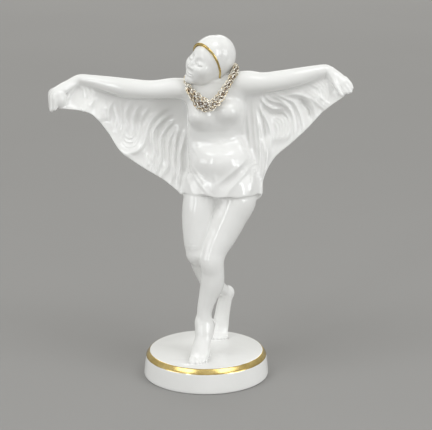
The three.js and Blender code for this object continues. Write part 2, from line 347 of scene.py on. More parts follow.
class Wing:
    """Hanging cloth between a line along the arm and a hem. Both lines run from mid back to the hand."""

    def __init__(self, arm, hem, depth, swell_from, folds):
        arm, hem = smooth_path(arm, 1.0), smooth_path(hem, 1.0)
        outline = np.vstack([arm[:, [0, 2]], hem[::-1][:, [0, 2]]])
        self.chart = chart = Chart(outline.min(0) - 5, outline.max(0) + 5)
        ends = sorted([arm[0, 0], arm[-1, 0]])
        across = np.clip(chart.x, *ends)
        arm_y, arm_z = (self.along(arm, column, across) for column in (1, 2))
        hem_y, hem_z = (self.along(hem, column, across) for column in (1, 2))
        fall = np.clip((arm_z - chart.z) / np.maximum(arm_z - hem_z, 4), 0, 1)
        share = np.abs(across - arm[0, 0]) / abs(arm[-1, 0] - arm[0, 0])
        bulge = depth * np.sin(np.pi * fall) * np.sin(np.pi * share**0.6)
        bulge *= fade(share, swell_from - 0.1, swell_from + 0.25)
        middle = arm_y + (hem_y - arm_y) * fall + bulge
        edge = outline_distance(chart.x, chart.z, outline)
        thin = fade(-edge, 0, HEM_TAPER)
        half = HEM_HALF_THICKNESS + (WING_HALF_THICKNESS - HEM_HALF_THICKNESS) * thin
        relief = fold_heights(chart.x, chart.z, folds)
        front = middle - half - relief
        back = middle + half - BACK_SHARE * relief
        slopes = [np.sqrt(1 + sum(g**2 for g in np.gradient(side, MAP_CELL))) for side in (front, back)]
        chart.layers = np.stack([front, back, edge, half, *slopes]).astype(np.float32)
        (left, bottom), (right, top) = outline.min(0), outline.max(0)
        self.low = np.array([left, front.min(), bottom]) - WING_REACH
        self.high = np.array([right, back.max(), top]) + WING_REACH

    @staticmethod
    def along(line, column, x):
        """A column of the line's rows at each x."""
        order = np.argsort(line[:, 0])
        return np.interp(x, line[order, 0], line[order, column])

    def distance(self, samples, chosen):
        points = samples.points[chosen]
        front, back, edge, half, front_slope, back_slope = self.chart.read(points)
        y = points[:, 1]
        cover = np.maximum((front - y) / front_slope, (y - back) / back_slope)
        rim = half * 0.9
        outer = np.hypot(np.maximum(edge + rim, 0), np.maximum(cover + rim, 0))
        return outer + np.minimum(np.maximum(edge, cover) + rim, 0) - rim


RIGHT_FOLDS = [
    # The long fold that bounds the hanging bag, and the hollow of the bag.
    (2.0, 1.5, [(-22, 177), (-29, 173.5), (-34, 169), (-37, 163), (-39, 157),
                (-41, 152), (-45, 149), (-50, 149), (-53, 152)]),
    (1.4, 3.6, [(-26, 175), (-34, 169), (-37.5, 162), (-40, 155), (-45, 149.5), (-51, 149.5)]),
    (-1.6, 2.8, [(-43, 172), (-42, 165), (-44, 158), (-47, 154)]),
    # Folds between the arm and the bag.
    *spread(1.3, 1.1, [(-47, 181), (-50, 175), (-51, 169), (-51, 163), (-53.5, 157)],
            [(-35, 177), (-39.5, 172), (-41.5, 166), (-42, 160), (-43.5, 154)], 3),
    *spread(0.9, 0.9, [(-59, 180), (-58, 174), (-57, 168), (-59, 161)],
            [(-54, 181), (-53.8, 174), (-53.5, 168), (-55.5, 160)], 2),
    # Folds that sweep in from the armpit and fall to the hem.
    *spread(3, 1.25, [(-22, 172), (-28.8, 167.4), (-33, 162), (-34, 156), (-33, 149), (-34.6, 141)],
            [(-18.6, 163), (-22.4, 158), (-24.4, 152.4), (-24.4, 146), (-24.8, 140), (-27.4, 133)], 3),
    *spread(2.8, 1.2,
            [(-16.8, 163.5), (-19.4, 156), (-20.2, 149), (-20.8, 142), (-20.6, 135), (-22.4, 129)],
            [(-12.8, 162), (-14.8, 154), (-16.4, 147), (-16.4, 140), (-17, 133), (-17.6, 126)], 2),
    *spread(1.2, 0.8, [(-38.4, 148), (-37, 143), (-37.4, 139)],
            [(-26.6, 143), (-27.4, 137), (-29, 132)], 4),
    # Swelling cloth towards the hand.
    (2.6, 3.0, [(-63, 181), (-66, 175), (-67, 168)]),
    (1.5, 1.1, [(-58.5, 181), (-61.5, 176), (-62, 168)]),
    (1.8, 2.2, [(-73, 182), (-75, 178), (-78, 175)]),
    (0.9, 0.8, [(-69, 184), (-71.5, 181), (-73, 177)]),
    *spread(0.9, 0.8, [(-80, 190.5), (-77.5, 188), (-77, 183)],
            [(-73, 189), (-71.5, 185.5), (-72.5, 181)], 3),
    (-1.2, 1.6, [(-80, 192), (-83.5, 186), (-87, 180)]),
    (1.2, 1.5, [(-84, 190), (-87, 184), (-90, 178)]),
    # Crease under the arm, rolled hem, and the ripples in the bag.
    (-1.3, 2.4, [(-76, 190.5), (-60, 185), (-44, 182.5), (-24, 182.5)]),
    (2.2, 1.8, [(-61, 159), (-57.5, 153.5), (-53, 149), (-47, 145)]),
    *spread(1.0, 0.75, [(-53.6, 155.6), (-50, 152.2), (-46, 152.2), (-43.2, 156.4), (-42.2, 161)],
            [(-52, 160), (-49.8, 157.4), (-47, 157.2), (-45.4, 159.8), (-45, 163)], 3),
]
RIGHT_HAND_WING = Wing(
    arm=[[8, 8, 191], [-8, 8.6, 190], [-22, 7.4, 189.4], [-38, 6, 188.6], [-53, 6, 190],
         [-67, 6.5, 192.6], [-80, 8, 194], [-88, 4.6, 189.6], [-95, 0.6, 183]],
    hem=[[8, 12, 119.5], [-5, 8, 119.5], [-14.2, -1.5, 121.6], [-27.9, 0, 131.3], [-40.9, 1, 139],
         [-53.5, 2, 148.4], [-62.6, 2, 161.6], [-72.7, 1.5, 173.3], [-92.5, -1.8, 177.6]],
    depth=7.2, swell_from=0.12, folds=RIGHT_FOLDS)

LEFT_FOLDS = [
    # Fine folds that hang beside the body.
    *spread(0.8, 1.0, [(23, 182), (23, 172), (24, 160), (26, 149)],
            [(29.4, 182), (30, 172), (31, 160), (32, 147)], 3),
    *spread(1.2, 0.95, [(31, 181), (32, 172), (33.4, 163), (34, 153), (34, 142), (33.5, 129)],
            [(33.4, 178), (36, 170), (38, 161), (39, 152), (38.4, 143), (36.4, 132)], 3),
    (2.2, 1.4, [(33, 181.5), (36.5, 174), (39.5, 167), (41.2, 160), (40.6, 153), (41, 147)]),
    (-1.6, 1.1, [(32.6, 178), (35, 170.5), (36.8, 163), (38, 155)]),
    # Folds that swing out along the arm.
    *spread(1.5, 1.0, [(34, 184.5), (38, 179), (42.5, 176.2), (48.5, 175.8)],
            [(36, 186), (41.5, 181.4), (47.5, 179.4), (52.5, 176)], 2),
    (-2.4, 1.4, [(34.5, 180.5), (38, 175), (42, 172.4), (47, 172.2), (51, 170)]),
    *spread(1.7, 1.1, [(39, 186), (46, 182.4), (51.4, 178.4), (54.8, 172), (56, 165), (55.4, 158)],
            [(42, 187), (49, 183.2), (55.6, 180), (59.4, 173), (61, 166), (61, 160)], 2),
    # Nested curves in the hanging bag.
    *spread(1.2, 0.85, [(46.5, 174.6), (51.4, 171.4), (53.4, 166), (52.8, 160), (50, 155)],
            [(42.6, 166.8), (44.6, 165.6), (45.4, 162.4), (45, 159), (43.8, 155)], 5),
    # Swelling cloth towards the hand.
    (1.9, 1.4, [(42, 185), (49, 184.6), (55, 185.4), (61, 184.4), (65.6, 181), (68.2, 176), (69, 170)]),
    (-2.4, 1.4, [(57.5, 182.6), (62.5, 179.4), (65.8, 175), (67, 169)]),
    *spread(1.6, 1.2, [(61, 186), (67, 182.6), (72, 178.6), (76, 176)],
            [(65, 189), (70, 185.6), (75, 181.6), (78.4, 179.4)], 3),
    *spread(1.1, 0.85, [(66, 191.4), (70.6, 189.4), (72.4, 186), (72.6, 182)],
            [(73, 195), (76.4, 191), (77.4, 186.6), (77, 181)], 4),
    (-1.6, 1.3, [(76.6, 197), (80.6, 192.4), (82, 186)]),
    (1.4, 1.1, [(79.4, 194), (82, 189.4), (82.6, 184.6)]),
    # Crease under the arm, and a fold along the edge beside the tunic.
    (-1.2, 2.2, [(26, 185), (44, 186.6), (60, 190), (73, 194)]),
    (1.1, 1.0, [(36, 155), (38.6, 148), (38.4, 140), (37, 132)]),
]
LEFT_HAND_WING = Wing(
    arm=[[8, 6, 191], [22, 3.4, 192], [32, 2.6, 191.6], [44, 4, 193.6], [56, 5, 196], [67, 6.8, 199],
         [75, 8, 200], [81, 5, 195], [88, 0.6, 187.5]],
    hem=[[8, 10, 119.5], [24, 3, 119.5], [34.2, -2.5, 119.4], [36.4, -1, 131], [43.4, 1, 144.6],
         [54.6, 2, 154.6], [65, 2, 164.6], [74.6, 1, 175.4], [87, -1, 185]],
    depth=5, swell_from=0.26, folds=LEFT_FOLDS)


# The dancer's forms

TORSO = Tube([
    [9.8, -0.5, 112, 25.4, 16.8], [9.8, -0.5, 120.2, 25.2, 16.8], [9.9, -0.5, 128, 24.3, 16.2],
    [9.6, 0, 138, 21.6, 14.8], [7.6, 0.3, 147, 19, 13.2], [6.2, 0.6, 153, 17.6, 10.8],
    [5.4, 0.9, 158, 16.9, 8.9], [5, 0.8, 164, 16.6, 9.2], [4.8, 0.4, 170, 16, 11],
    [4.6, 0.5, 176, 15.8, 11.2], [4, 0.8, 182, 16.4, 10.6], [4.2, 1, 189, 17.4, 8.8],
    [4.4, 1.2, 194, 11, 6.4],
], ends=(1, 0.5))
BREASTS = [Ball([-3, -5.8, 174.4], [8.3, 8.2, 7.8]), Ball([13.2, -5.8, 177], [8.3, 8.2, 7.8])]
BELLY = Ball([8.8, -5, 144.2], [14.5, 11.6, 11])
LEFT_SIDE = Ball([19.4, -1, 176], [5, 5, 12])
NECK = Tube([[4.4, 1.4, 189, 8, 6.6], [2.2, 0.6, 196, 6.2, 6], [2.6, 1, 203, 6.2, 6]])
RIGHT_ARM = Tube([
    [-8, 1, 189, 7, 6.5], [-20, 0.5, 190, 6.6, 6.4], [-34, 1.2, 189, 5.9, 5.9],
    [-50, 3, 189.8, 6.1, 5.8], [-61, 4.6, 191.8, 5, 4.8], [-72, 6.6, 194, 3.3, 3.7],
    [-80.5, 7.8, 194.6, 2.6, 3.2], [-86, 6, 191.2, 2.9, 3.6],
], side=(0, 0, 1))
LEFT_ARM = Tube([
    [15, 1, 192, 7.4, 7], [26, 0.6, 193.6, 7.6, 7], [36, 1.2, 193.5, 6.5, 6.2], [47, 2.4, 194.8, 6.2, 5.9],
    [59, 4.2, 197, 5.5, 5], [70, 6.8, 199.7, 3.8, 3.9], [76.5, 8, 200.6, 2.9, 3.2], [81, 6.2, 197.6, 3, 3.5],
], side=(0, 0, 1))


def hand(wrist, knuckles, across, curl, reach, size, thumb):
    """A palm from the wrist to the knuckles, four fingers that close on the cloth, and a thumb."""
    wrist, knuckles, across, curl = (np.array(v, float) for v in (wrist, knuckles, across, curl))
    ahead = unit(knuckles - wrist)
    across = unit(across - (across @ ahead) * ahead)
    curl = unit(curl)
    palm = Tube([[*wrist, 2.7, 3.1], [*(wrist + knuckles) / 2, 2.8 * size, 4 * size],
                 [*knuckles, 2.5 * size, 4.4 * size]], side=np.cross(ahead, across))
    forms = [palm]
    radii = np.array([1.6, 1.55, 1.5, 1.2]) * size
    for number in range(4):
        share = 1 - 0.09 * abs(number - 1.2)
        root = knuckles + across * (number - 1.5) * 2.2 * size - ahead * abs(number - 1.2) * 0.6
        bend = root + ahead * reach[0] * share
        middle = bend + curl * reach[1] * share * 0.5
        tip = bend + curl * reach[1] * share + across * (1.5 - number) * 0.35
        joints = (root, bend, middle, tip)
        forms.append(Tube([[*place, r, r] for place, r in zip(joints, radii)], side=across))
    start, middle, tip = (np.array(v, float) for v in thumb)
    forms.append(Tube([[*start, 1.8, 1.8], [*middle, 1.6, 1.6], [*tip, 1.25, 1.25]], side=(0, 0, 1)))
    return forms


RIGHT_HAND = hand(
    wrist=[-83, 7, 193], knuckles=[-94.8, 1, 187], across=[-0.3, 0.9, 0.15],
    curl=[-0.07, -0.16, -1], reach=(2.8, 9.4), size=1.16,
    thumb=([-87.5, 3, 189], [-92.4, -1.6, 184.6], [-94.6, -3.6, 178.4]))
RIGHT_HAND.append(Ball([-92.8, -0.4, 183.2], [5, 4.2, 6]))
LEFT_HAND = hand(
    wrist=[78.8, 7.4, 199.3], knuckles=[85.6, 2.4, 192.6], across=[-0.6, -0.35, -0.7],
    curl=[0.62, -0.3, -0.72], reach=(2.6, 5), size=1.08,
    thumb=([80.4, 4, 196.4], [82.6, -0.4, 191], [85.4, -2.8, 186.4]))

FRONT_LEG = [
    Tube([
        [16.5, 0, 130, 10, 12], [19, -1.6, 119.6, 13.2, 13.4], [14.8, -5, 108, 11.6, 12],
        [9.6, -8.5, 97, 10.3, 10.4], [5.4, -11.5, 88, 8.6, 8.8], [3.9, -13.2, 81, 7.7, 7.4],
        [4.2, -13, 73.3, 7.4, 7.2], [3.5, -12.2, 65.6, 7.1, 7.4], [1.5, -11.6, 57, 6.1, 6.6],
        [-0.7, -11.6, 48.2, 5, 5.4], [-1.5, -12.2, 40.4, 4.6, 5.1], [-1.8, -13.6, 34.4, 4.7, 5.1],
    ]),
    Ball([3.4, -16, 80.4], [4.8, 4, 6]),
    Ball([5, -8.8, 66], [5.8, 6.2, 9.6]),
    Ball([-5, -12.4, 38.8], [1.4, 1.9, 2.4]),
    Ball([1.8, -12, 38], [1.5, 1.8, 2.6]),
]
FRONT_FOOT = [
    Tube([
        [3, -6.2, 36.2, 3.2, 3.6], [0, -11.6, 32.6, 4.9, 5.6], [-2.6, -17.2, 26.4, 5.4, 4.8],
        [-4.5, -21.8, 20.8, 5.5, 3.4], [-5, -24.6, 18.6, 5.2, 2.5],
    ], side=(0.95, -0.3, 0)),
    Ball([-1.6, -15.6, 20], [4.4, 7.4, 5.4]),
]
FRONT_TOES = [
    Tube([[x, y + 4.4, 18.7, r, r], [x - 0.5, y + 1, 18, r, r * 0.95],
          [x - 0.6, y, 17.5, r * 0.9, r * 0.85]])
    for x, y, r in ((-8.5, -27.3, 2.1), (-5.5, -28.4, 1.5), (-3.2, -27.9, 1.4), (-1.2, -26.8, 1.3),
                    (0.5, -25.3, 1.2))
]
REAR_LEG = [
    Tube([
        [-2, 0, 130, 9, 12], [-3.8, -2, 119, 10.6, 12.2], [-4.8, -4, 108, 10.7, 11.6],
        [-5.7, -6.5, 98, 9.3, 9.8], [-6.1, -8.3, 90, 7.8, 8.2], [-5.6, -8.6, 85.4, 6.9, 7.2],
    ], ends=(1, 0.7)),
    Tube([
        [-5.3, -8.2, 82.8, 6, 6.1], [-2.4, -1.8, 72.3, 6, 6.2], [1.8, 6.6, 61.9, 6.1, 6.3],
        [7.6, 16.6, 53.7, 4.9, 5], [12.2, 23.6, 48, 4.1, 4.1],
    ]),
    Ball([-5.8, -10.6, 83], [4.2, 3.8, 4.6]),
]
REAR_FOOT = [
    Tube([
        [13.7, 25.2, 47, 4.2, 4.4], [11.8, 25, 39, 4.7, 4.4], [10.4, 24.8, 31, 5, 4],
        [9.4, 24.2, 23.8, 5.4, 3.2], [8.9, 22.4, 20, 5.3, 2.6], [8.7, 20.6, 18.4, 4.6, 1.9],
    ]),
    Ball([14.6, 26, 46.6], [3.7, 3.6, 4]),
]
REAR_TOES = [
    Tube([[x, y + 3, 18.8, r, r], [x, y, 17.7, r, r * 0.9]])
    for x, y, r in ((5.7, 17.6, 1.8), (8.2, 17, 1.4), (10.2, 17.4, 1.3), (12, 18.4, 1.2), (13.5, 19.6, 1.1))
]


def rotation(axis, angle):
    """Matrix of a turn about axis 0, 1 or 2."""
    one, other = (axis + 1) % 3, (axis + 2) % 3
    matrix = np.eye(3)
    matrix[one, one] = matrix[other, other] = math.cos(angle)
    matrix[one, other] = -math.sin(angle)
    matrix[other, one] = math.sin(angle)
    return matrix


class Head:
    """Head with a calm, regular face and a close cap."""

    def __init__(self):
        self.axes = rotation(2, HEAD_TURN) @ rotation(0, HEAD_LIFT) @ rotation(1, HEAD_ROLL)
        self.rim = unit(RIM_FACING)
        reach = HEAD_REACH + MARGIN
        self.low, self.high = HEAD_CENTRE - reach, HEAD_CENTRE + reach

    def distance(self, samples, chosen):
        q = ((samples.points[chosen] - HEAD_CENTRE) @ self.axes).astype(np.float32)
        return smooth_min(self.face(q), self.cap(q), 0.3)

    @staticmethod
    def face(q):
        """Skull, jaw, chin, cheeks, closed eyes, nose and lips; s is q folded over onto one side."""
        skull = ellipsoid(q, (0, -1.2, 3.2), (10.3, 13.5, 15))
        q = q + np.float32([0, 1.9, -1])
        s = np.abs(q) * np.float32([1, 0, 0]) + q * np.float32([0, 1, 1])
        face = smooth_min(skull, ellipsoid(q, (0, -4.6, -7), (7.6, 8, 7.6)), 5)
        face = smooth_min(face, ellipsoid(q, (0, -10.6, -12.2), (2.8, 2.3, 2.2)), 3)
        face = smooth_min(face, ellipsoid(s, (5.2, -8.2, -2.6), (3.4, 3.4, 3.6)), 3.5)
        face = smooth_max(face, -ellipsoid(s, (4.2, -13.6, 1.2), (2.8, 1.8, 1.9)), 3)
        face = smooth_min(face, ellipsoid(s, (4.2, -9.9, 0.6), (2.5, 2.3, 1.7)), 0.8)
        lid = ((2.2, -11.6, -0.3), (3.4, -12.1, -0.9), (5.2, -12, -0.9), (6.6, -10.9, -0.3))
        for start, end in zip(lid, lid[1:]):
            face = smooth_max(face, -capsule(s, start, end, 0.28), 0.3)
        bridge = capsule(q, (0, -12, 3.6), (0, -13.3, -1), 0.95)
        nose = smooth_min(bridge, capsule(q, (0, -13.3, -1), (0, -14.2, -3.3), 1.25), 1)
        nose = smooth_min(nose, ellipsoid(s, (1.4, -13.1, -3.9), (1.1, 1.3, 0.9)), 0.8)
        face = smooth_min(face, nose, 1.3)
        upper = smooth_min(capsule(s, (0.4, -13.1, -7.3), (2.8, -11.9, -7.8), 0.6), face, 0.9)
        lips = smooth_min(capsule(s, (0, -12.9, -8.8), (2.1, -12, -8.5), 0.75), upper, 0.8)
        face = smooth_max(lips, -capsule(s, (0, -13.9, -8), (3, -12.3, -7.9), 0.28), 0.35)
        return smooth_max(face, -ellipsoid(q, (0, -14.5, -10.5), (2.2, 1.3, 0.7)), 1)

    def cap(self, q):
        """Close cap with a low ridge over the crown, cut off at its rim, where a thin welt runs."""
        shell = ellipsoid(q, CAP_CENTRE, CAP_RADII)
        shell += 0.45 * np.exp(-((q[:, 1] + 2) / 2.4) ** 2) * fade(q[:, 2], 2, 10)
        beyond = (q - CAP_CENTRE) @ self.rim - RIM_DEPTH
        welt = np.hypot(shell + 0.1, beyond + 0.2) - RIM_WELT
        return smooth_min(smooth_max(shell, beyond, 0.4), welt, 0.3)


HEAD = Head()

# Tunic: V folds to the crotch, a crease under the bust, ripples along the hem; long soft folds on the back.
FRONT_FOLDS = [
    (0.7, 1.2, [(-13.5, 143), (-9, 138), (-4, 131.5), (2, 125)]),
    (0.6, 1.1, [(-15, 138), (-11, 131), (-8, 124)]),
    (0.5, 1.0, [(-10.5, 144), (-6, 138), (-1, 131.5)]),
    (0.6, 1.2, [(29, 150), (21, 143), (13, 136.5), (5, 130)]),
    (0.6, 1.2, [(31, 144), (23, 136.5), (16, 129), (12, 123.5)]),
    (0.6, 1.2, [(5, 139), (6, 133), (4.5, 126)]),
    (0.7, 1.3, [(31, 140), (29.5, 132), (28, 124)]),
    (-0.5, 2.2, [(-12, 140), (-6, 133), (-1, 126)]),
    (-0.5, 2.2, [(27, 144), (17, 135), (10, 128)]),
    (-1.3, 2.2, [(-9, 158.5), (0, 155.6), (12, 155.4), (22, 159)]),
    (0.3, 1.8, [(-8, 154), (0, 151.2), (12, 151), (21, 154.6)]),
    (0.7, 1.6, [(-11, 166), (-10, 158), (-11, 150)]),
    (0.8, 1.6, [(19.5, 162), (22.5, 155), (25.5, 147)]),
]
BACK_FOLDS = [
    (0.9, 2.2, [(8 + 5.2 * k, 186), (8 + 5.8 * k, 160), (9 + 7.4 * k, 138), (9 + 8.4 * k, 121)])
    for k in (-2.6, -1.6, -0.5, 0.5, 1.6, 2.6)
]
TUNIC = Chart((-22, 110), (42, 200))
TUNIC.layers = np.stack([fold_heights(TUNIC.x, TUNIC.z, folds) for folds in (FRONT_FOLDS, BACK_FOLDS)])

# Groups of forms in the order in which they are joined, each after its fillet.
TUNIC_GROUPS = [(1, [TORSO]), (4, [LEFT_SIDE]), (3.6, BREASTS), (6, [BELLY])]
FRONT_LEG_GROUPS = [(4.5, FRONT_LEG), (4, FRONT_FOOT), (0.7, FRONT_TOES)]
REAR_LEG_GROUPS = [(4, REAR_LEG), (2.5, REAR_FOOT), (1.2, REAR_TOES)]
UPPER_GROUPS = [
    (5, [NECK, RIGHT_ARM, LEFT_ARM, RIGHT_HAND_WING, LEFT_HAND_WING]),
    (1, RIGHT_HAND + LEFT_HAND), (1.2, [HEAD]),
]


def tunic(samples):
    """Torso and bust down to the hem, with the folds of the cloth."""
    distance = join(samples, empty(samples), TUNIC_GROUPS)
    near = samples.near(TORSO)
    points = samples.points[near]
    front, back = TUNIC.read(points)
    facing = fade(points[:, 1], -2, -7)
    behind = fade(points[:, 1], 3, 8)
    distance[near] -= front * facing + back * behind
    low = fade(points[:, 2], 134, 121)
    angle = np.arctan2(points[:, 1], points[:, 0] - 10)
    distance[near] -= low * RIPPLE_HEIGHT * np.cos(RIPPLES * angle + 1) * facing
    x = points[:, 0]
    rise = 1.8 * fade(x, 8, -6) - 1.4 * fade(x, -9, -16)
    hem = HEM_HEIGHT + rise - HEM_BACK_DROP * behind + 0.2 * np.cos(0.5 * x)
    distance[near] = smooth_max(distance[near], hem - points[:, 2], HEM_ROUNDING)
    return distance


def legs(samples):
    """Both legs, which only run into each other under the tunic."""
    front = join(samples, empty(samples), FRONT_LEG_GROUPS)
    rear = join(samples, empty(samples), REAR_LEG_GROUPS)
    return smooth_min(front, rear, 1.6 + 4 * fade(samples.points[:, 2], 110, 122))


def base(points):
    """Turned base: the outline is worked out in radius and height."""
    radius = np.hypot(points[:, 0], points[:, 1])
    height = points[:, 2]
    distance = np.maximum(-height, radius - BASE_FOOT_RADIUS)
    inset, lift = BASE_FOOT_BEVEL
    outline = [(BASE_FOOT_RADIUS - inset, 0), (BASE_FOOT_RADIUS, lift),
               BASE_SHOULDER, BASE_BEVEL, BASE_TOP, (0, BASE_TOP[1])]
    for (r0, z0), (r1, z1) in zip(outline, outline[1:]):
        length = math.hypot(r1 - r0, z1 - z0)
        out = ((radius - r0) * (z1 - z0) - (height - z0) * (r1 - r0)) / length
        distance = smooth_max(distance, out, BASE_ROUNDING)
    groove = np.maximum(np.abs(radius - GROOVE_RADIUS) - GROOVE_WIDTH / 2, height - GROOVE_DEPTH)
    return smooth_max(distance, -groove, GROOVE_ROUNDING)


def dancer_distance(samples):
    """Distance to the whole porcelain piece."""
    upper = join(samples, tunic(samples), UPPER_GROUPS)
    ground = empty(samples)
    low = np.flatnonzero(samples.points[:, 2] < BASE_REACH)
    ground[low] = base(samples.points[low])
    lower = smooth_min(legs(samples), ground, 1.2)
    return smooth_min(upper, lower, 2.2)


# Meshing

def mesh_field(low, high):
    """Quads of the field's surface. Only blocks near the surface are measured finely."""
    low = np.floor(np.asarray(low) / BLOCK) * BLOCK
    blocks = np.ceil((np.asarray(high) - low) / BLOCK).astype(int)
    grid = np.stack(np.meshgrid(*(np.arange(n) for n in blocks), indexing="ij"), -1).reshape(-1, 3)
    centres = (low + (grid + 0.5) * BLOCK).astype(np.float32)
    coarse = dancer_distance(Samples(centres, np.arange(len(centres)), centres))
    per_block = int(round(BLOCK / CELL))
    values = np.clip(coarse.reshape(blocks), -FIELD_LIMIT, FIELD_LIMIT).astype(np.float32)
    for axis in range(3):
        values = np.repeat(values, per_block, axis)
    close = np.flatnonzero(np.abs(coarse) < BAND)
    steps = (np.arange(per_block) + 0.5) * CELL - BLOCK / 2
    offsets = np.stack(np.meshgrid(steps, steps, steps, indexing="ij"), -1).reshape(-1, 3).astype(np.float32)
    for part in np.array_split(close, max(1, len(close) // BLOCKS_AT_ONCE)):
        points = (centres[part][:, None, :] + offsets).reshape(-1, 3)
        owner = np.repeat(np.arange(len(part)), len(offsets))
        fine = dancer_distance(Samples(points, owner, centres[part]))
        fine = np.clip(fine, -FIELD_LIMIT, FIELD_LIMIT).reshape(-1, per_block, per_block, per_block)
        for (i, j, k), cube in zip(grid[part] * per_block, fine):
            values[i:i + per_block, j:j + per_block, k:k + per_block] = cube
    volume = openvdb.FloatGrid(FIELD_LIMIT)
    volume.copyFromArray(values)
    places, quads = volume.convertToQuads(isovalue=0.0)
    return low + (places + 0.5) * CELL, quads


def field_normals(places):
    """Directions in which the distance grows."""
    normals = np.zeros(places.shape)
    for corner in ((1, -1, -1), (-1, -1, 1), (-1, 1, -1), (1, 1, 1)):
        offset = np.array(corner) * NORMAL_STEP
        normals += np.outer(dancer_distance(Samples.scattered(places + offset)), corner)
    return unit(normals)


def new_object(name, data):
    thing = bpy.data.objects.new(name, data)
    bpy.context.scene.collection.objects.link(thing)
    return thing


def new_mesh(name, places, faces):
    """A mesh object from places in millimetres."""
    mesh = bpy.data.meshes.new(name)
    places = np.asarray(places, np.float32) * MM
    faces = np.asarray(faces, np.int32)
    mesh.vertices.add(len(places))
    mesh.vertices.foreach_set("co", places.ravel())
    mesh.loops.add(faces.size)
    mesh.loops.foreach_set("vertex_index", faces.ravel())
    mesh.polygons.add(len(faces))
    mesh.polygons.foreach_set("loop_start", np.arange(len(faces), dtype=np.int32) * faces.shape[1])
    mesh.update(calc_edges=True)
    mesh.shade_smooth()
    return new_object(name, mesh)


def thin_out(piece, triangles):
    """Lowers the triangle count, most where the surface is plain."""
    present = sum(len(face.vertices) - 2 for face in piece.data.polygons)
    if present <= triangles:
        return
    modifier = piece.modifiers.new("thin", "DECIMATE")
    modifier.ratio = triangles / present
    modifier.use_collapse_triangulate = True
    thinned = piece.evaluated_get(bpy.context.evaluated_depsgraph_get())
    reduced = bpy.data.meshes.new_from_object(thinned)
    piece.modifiers.clear()
    piece.data = reduced
    reduced.name = piece.name


def build_dancer():
    """The porcelain piece, with normals taken from the field itself."""
    cad_low, cad_high = (np.array(corner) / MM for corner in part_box("dancer"))
    places, quads = mesh_field(cad_low - GRID_BORDER, cad_high + GRID_BORDER)
    piece = new_mesh("dancer_porcelain", places, quads)
    thin_out(piece, DANCER_TRIANGLES)
    count = len(piece.data.vertices)
    places = np.empty(count * 3, np.float32)
    piece.data.vertices.foreach_get("co", places)
    normals = field_normals(places.reshape(-1, 3) / MM)
    piece.data.shade_smooth()
    piece.data.normals_split_custom_set_from_vertices(normals.tolist())
    piece.data.materials.append(porcelain_material())
    return piece


# Necklace: strands of small links, twisted into a soft rope

# Middle line of the closed rope, from the front of the breast round by her left shoulder.
ROPE_ROUTE = [
    [2.4, -15, 181.8], [7.4, -13.6, 185.2], [11.6, -11.6, 190.6], [15, -8, 196.2], [18.6, -1.8, 201.2],
    [18.8, 5.6, 202.2], [15, 12.6, 200.4], [6, 15.2, 198], [-4, 13.6, 196.4], [-9.6, 8, 195],
    [-11.4, 1, 193.4], [-10.2, -6, 190.4], [-6.8, -11.2, 187], [-2.6, -14.2, 183.2],
]
ROPE_DENSE_STEP = 0.1
ROPE_STEP = 0.25
STRANDS = 5
STRAND_TURNS = 5
STRAND_SPREAD = 2.3
STRAND_DEPTH = 1.35
STRAND_WANDER = 0.25
LINK_HALF_LENGTH = 1.9
LINK_HALF_WIDTH = 1.08
LINK_WIRE = 0.32
LINK_PITCH = 2.55
LINK_GAP = 0.15
LINK_SIDES = 14
WIRE_SIDES = 6


def rope_line():
    """Closed middle line of the rope with its two cross directions."""
    wrapped = np.array(ROPE_ROUTE[-3:] + ROPE_ROUTE + ROPE_ROUTE[:3], float)
    dense = smooth_path(wrapped, ROPE_DENSE_STEP)
    from_start = lengths(dense - wrapped[3])
    half = len(dense) // 2
    line = dense[from_start[:half].argmin():half + from_start[half:].argmin()]
    count = int(len(line) * ROPE_DENSE_STEP / ROPE_STEP)
    line = line[np.linspace(0, len(line), count, endpoint=False).astype(int)]
    tangent = unit(np.roll(line, -1, axis=0) - np.roll(line, 1, axis=0))
    up = np.array([0, 0, 1.0])
    across = unit(up - tangent[:, 2:3] * tangent)
    return line, across, np.cross(tangent, across)


def link_mesh(centre, along, flat):
    """One oval ring of wire, long along the strand, in the plane of along and flat."""
    turn = 2 * np.pi * np.arange(LINK_SIDES) / LINK_SIDES
    roll = 2 * np.pi * np.arange(WIRE_SIDES) / WIRE_SIDES
    long, wide = LINK_HALF_LENGTH - LINK_WIRE, LINK_HALF_WIDTH - LINK_WIRE
    squareness = np.abs(np.cos(turn)) ** 0.7 * np.sign(np.cos(turn))
    ring = centre + np.outer(long * squareness, along) + np.outer(wide * np.sin(turn), flat)
    outward = unit(np.outer(wide * np.cos(turn), along) + np.outer(long * np.sin(turn), flat))
    through = np.cross(along, flat)
    roll = roll[None, :, None]
    wire = (outward[:, None, :] * np.cos(roll) + through * np.sin(roll)) * LINK_WIRE
    places = (ring[:, None, :] + wire).reshape(-1, 3)
    faces = []
    for i in range(LINK_SIDES):
        here, after = i * WIRE_SIDES, (i + 1) % LINK_SIDES * WIRE_SIDES
        for j in range(WIRE_SIDES):
            above = (j + 1) % WIRE_SIDES
            faces.append([here + j, after + j, after + above, here + above])
    return places, np.array(faces)


def clear_of_porcelain(places, gap):
    """Pushes places out until they are the gap away from the porcelain."""
    for _ in range(4):
        short = gap - dancer_distance(Samples.scattered(places))
        places = places + np.maximum(short, 0)[:, None] * field_normals(places)
    return places


def link_pose(route, along, at, number, strand):
    """A link's centre on its strand, the strand's direction there, and the way in which the link lies."""
    closed = np.vstack([route, route[:1]])
    centre, before, after = (
        np.array([np.interp((at + shift) % along[-1], along, column) for column in closed.T])
        for shift in (0, -0.6, 0.6))
    direction = unit(after - before)
    reference = unit(np.cross(direction, [0.3, 0.2, 1]))
    other = np.cross(direction, reference)
    lean = math.radians(45 + 90 * (number % 2)) + 0.35 * math.sin(1.7 * number + strand)
    return centre, direction, reference * math.cos(lean) + other * math.sin(lean)


